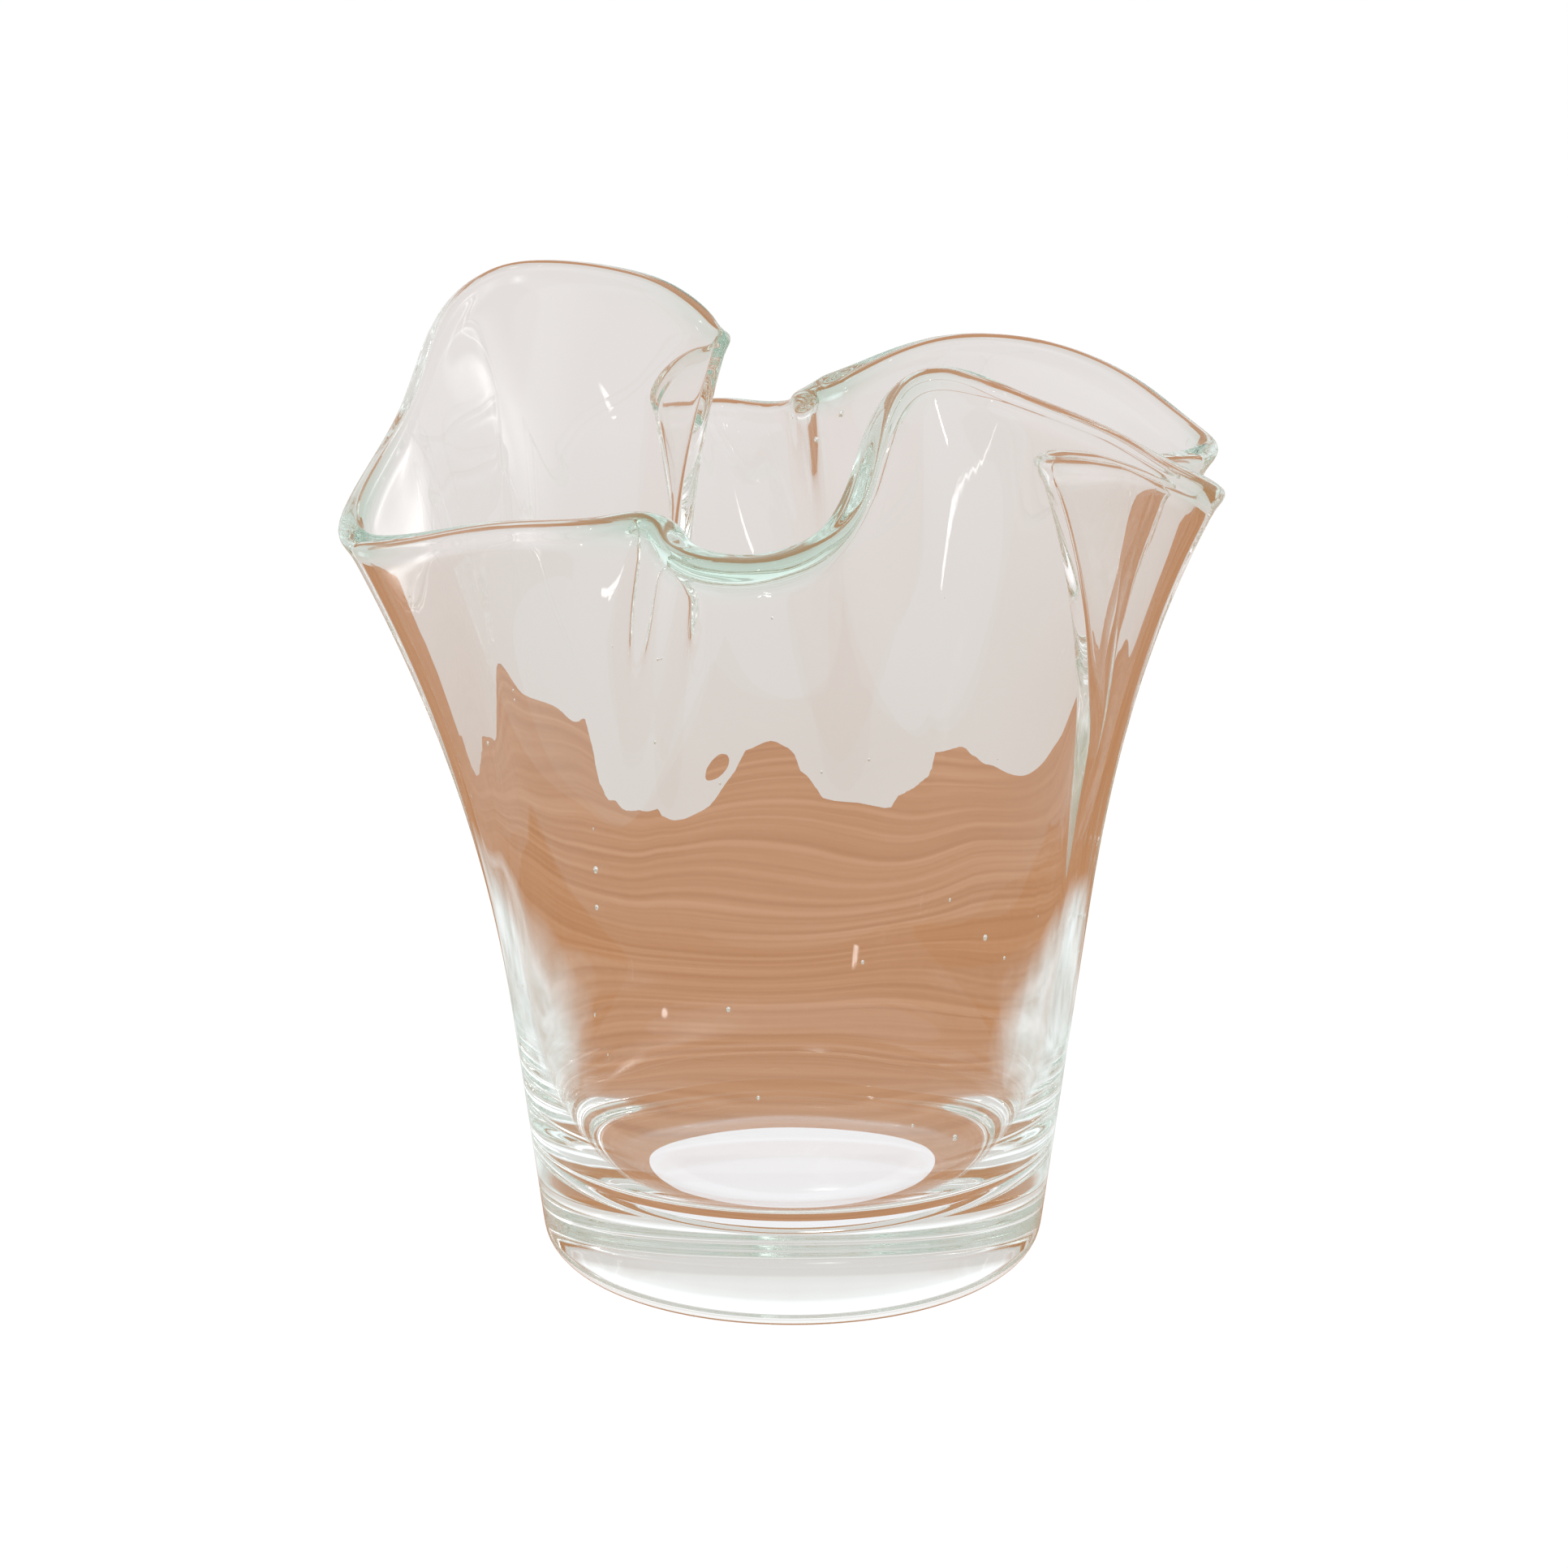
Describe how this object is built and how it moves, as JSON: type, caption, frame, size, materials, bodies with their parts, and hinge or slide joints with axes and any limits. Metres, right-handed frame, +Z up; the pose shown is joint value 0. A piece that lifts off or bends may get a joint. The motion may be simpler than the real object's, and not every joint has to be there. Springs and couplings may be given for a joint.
{
  "type": "vase",
  "caption": "Clear blown-glass vase with a heavy round base, a round body that flares into uneven handkerchief folds, and a rounded wavy lip.",
  "frame": {"origin": "centre of the flat underside that the vase stands on", "axes": "+Z up the vase, -Y towards the low front fold of the rim, +X towards the pinched right side"},
  "size_m": [0.1548, 0.122, 0.1721],
  "materials": {
    "glass": "clear gloss, faint green in its thickness, a few seeds"
  },
  "bodies": {
    "root": {"base": "glass", "wall": "glass", "lip": "glass"}
  },
  "joints": []
}
